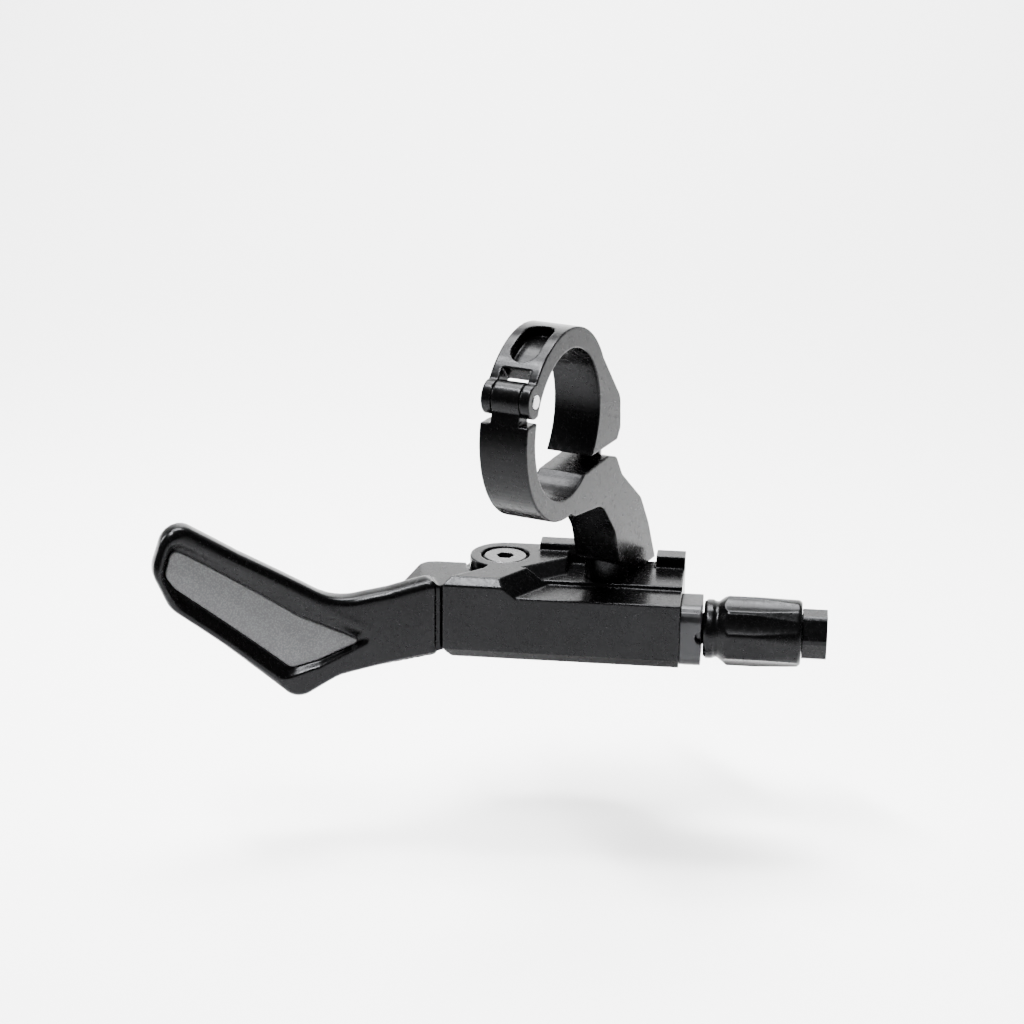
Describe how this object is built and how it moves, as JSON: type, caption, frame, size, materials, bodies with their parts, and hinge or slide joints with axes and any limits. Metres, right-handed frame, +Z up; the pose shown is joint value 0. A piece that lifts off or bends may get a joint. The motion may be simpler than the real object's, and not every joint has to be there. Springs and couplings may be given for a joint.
{
  "type": "thumb shifter",
  "caption": "Thumb lever on a hinged round-bar clamp, with a sliding foot, a bearing pivot and a barrel adjuster; pressing the paddle pulls a cable.",
  "frame": {"origin": "centre of the handlebar bore, midway along the clamp's width", "axes": "+X along the handlebar towards the stem, +Y forward and away from the rider, +Z up"},
  "size_m": [0.0916, 0.0584, 0.063],
  "materials": {
    "anodised_black": "satin black anodised, fine bead blast",
    "anodised_grey": "satin grey anodised",
    "pad_grey": "matte, finely textured",
    "steel": "bright turned steel",
    "steel_dark": "dark oxide steel",
    "rubber": "matte rubber"
  },
  "bodies": {
    "clamp_base": {"clamp_base": "anodised_black", "foot_bolt": "steel", "foot_washer": "steel"},
    "clamp_band": {"clamp_band": "anodised_black", "hinge_pin": "steel"},
    "clamp_bolt": {"clamp_bolt": "steel", "clamp_bolt_washer": "steel"},
    "housing": {"housing": "anodised_black", "adjuster_seat": "anodised_grey", "pivot_bolt": "steel", "pivot_washers": "steel", "bearing_inner_races": "steel", "bearing_spacer": "steel", "return_spring": "steel", "stop_bumper": "rubber", "detent_ball": "steel", "detent_spring": "steel", "detent_plug": "steel"},
    "lever": {"lever": "anodised_black", "thumb_pad": "pad_grey", "bearing_outer_races": "steel", "bearing_balls": "steel"},
    "anchor": {"cable_anchor": "steel", "pinch_screw": "steel_dark"},
    "ferrule": {"ferrule": "anodised_black"},
    "barrel": {"barrel_adjuster": "anodised_black"}
  },
  "joints": [
    {"name": "band_swing", "type": "hinge", "parent": "clamp_base", "child": "clamp_band", "pos_m": [0, -0.0113, 0.0063], "axis": [1, 0, 0], "range_deg": [0, 6]},
    {"name": "clamp_bolt_lift", "type": "slide", "parent": "clamp_base", "child": "clamp_bolt", "axis": [0, 0, 1], "range_m": [0, 0.0033]},
    {"name": "housing_slide", "type": "slide", "parent": "clamp_base", "child": "housing", "axis": [0.9455, 0.3256, 0], "range_m": [-0.0008, 0.0008]},
    {"name": "lever_swing", "type": "hinge", "parent": "housing", "child": "lever", "pos_m": [-0.0158, 0.02, -0.0295], "axis": [0, 0, -1], "range_deg": [0, 32], "stiffness_Nm_per_rad": 0.12, "springref_deg": -34.38},
    {"name": "anchor_swivel", "type": "hinge", "parent": "lever", "child": "anchor", "pos_m": [-0.01081, 0.01337, -0.0355], "axis": [0, 0, 1], "range_deg": [0, 33]},
    {"name": "adjuster_travel", "type": "slide", "parent": "housing", "child": "ferrule", "axis": [0.9455, 0.3256, 0], "range_m": [0, 0.0024]},
    {"name": "barrel_spin", "type": "hinge", "parent": "ferrule", "child": "barrel", "pos_m": [0.02449, 0.02584, -0.0373], "axis": [0.9455, 0.3256, 0], "range_deg": [0, 1080]}
  ],
  "couplings": [
    {"joint": "clamp_bolt_lift", "follows": "band_swing", "m_per_rad": 0.0303},
    {"joint": "barrel_spin", "follows": "adjuster_travel", "rad_per_m": 7854}
  ]
}
